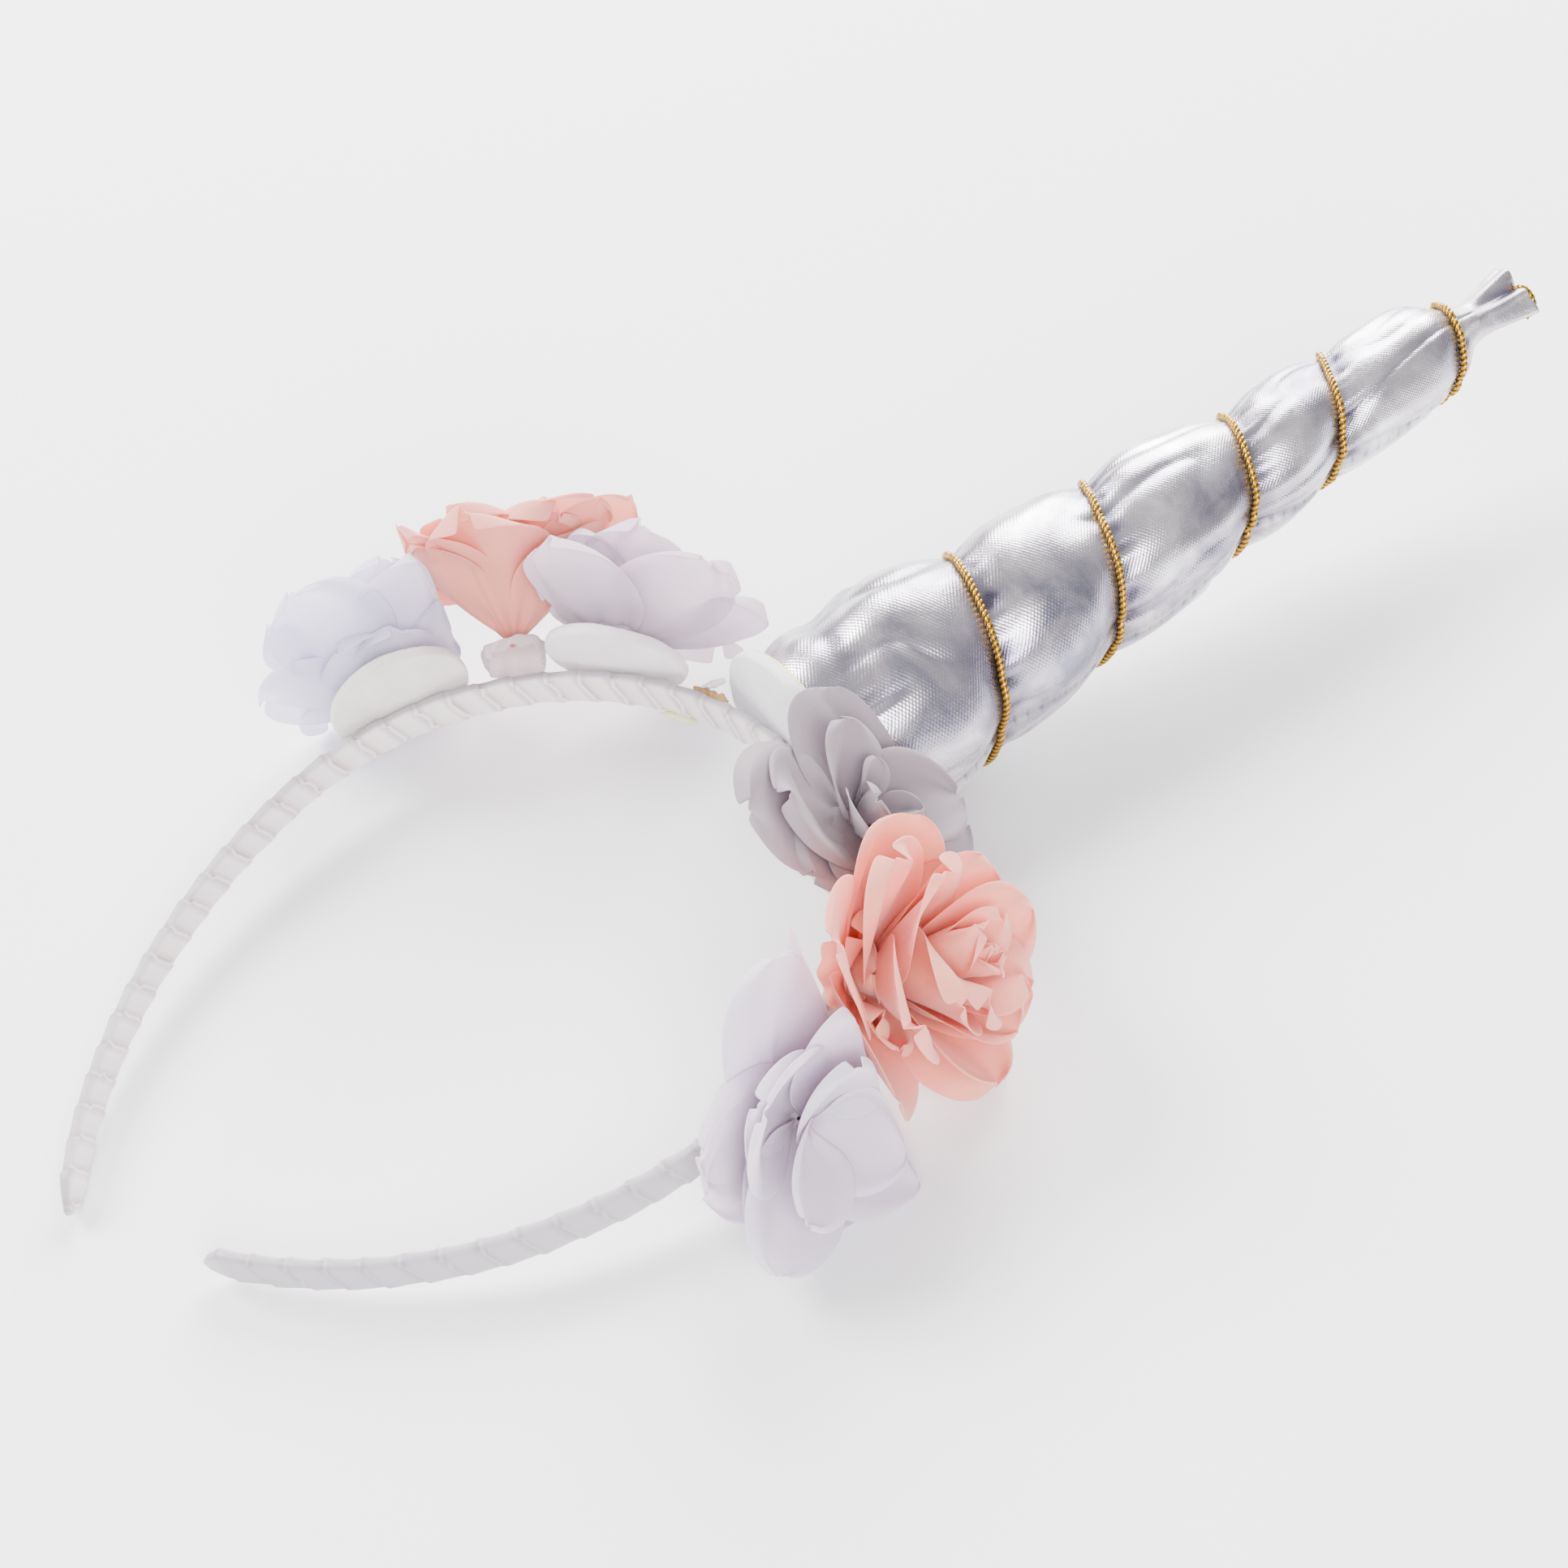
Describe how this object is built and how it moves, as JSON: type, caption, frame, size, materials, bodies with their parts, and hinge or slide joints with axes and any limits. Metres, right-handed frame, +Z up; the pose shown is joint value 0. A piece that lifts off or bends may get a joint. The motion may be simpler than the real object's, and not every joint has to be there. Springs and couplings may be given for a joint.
{
  "type": "unicorn horn headband",
  "caption": "Ribbon-wound headband with a stuffed silver unicorn horn wound in gold cord and chiffon flowers on felt pads, lying on its side.",
  "frame": {"origin": "middle of the bounding box's bottom, on the surface that the headband lies on", "axes": "+Z up from the surface, +Y from the arm ends to the horn's tip, +X across the arms towards the near flowers"},
  "size_m": [0.1588, 0.3028, 0.0535],
  "materials": {
    "ribbon": "satin",
    "silver_lame": "satin",
    "felt": "matte",
    "gold_twist": "satin",
    "pad_felt": "matte",
    "lilac": "matte",
    "pink": "matte",
    "white": "matte",
    "grey": "matte",
    "peach": "matte"
  },
  "bodies": {
    "root": {"headband": "ribbon", "horn": "silver_lame", "horn_base_disc": "felt", "gold_cord": "gold_twist", "pad_far_lilac": "pad_felt", "flower_far_lilac": "lilac", "flower_far_pink": "pink", "pad_far_white": "pad_felt", "flower_far_white": "white", "pad_near_grey": "pad_felt", "flower_near_grey": "grey", "flower_near_peach": "peach", "pad_near_white": "pad_felt", "flower_near_white": "white"}
  },
  "joints": []
}
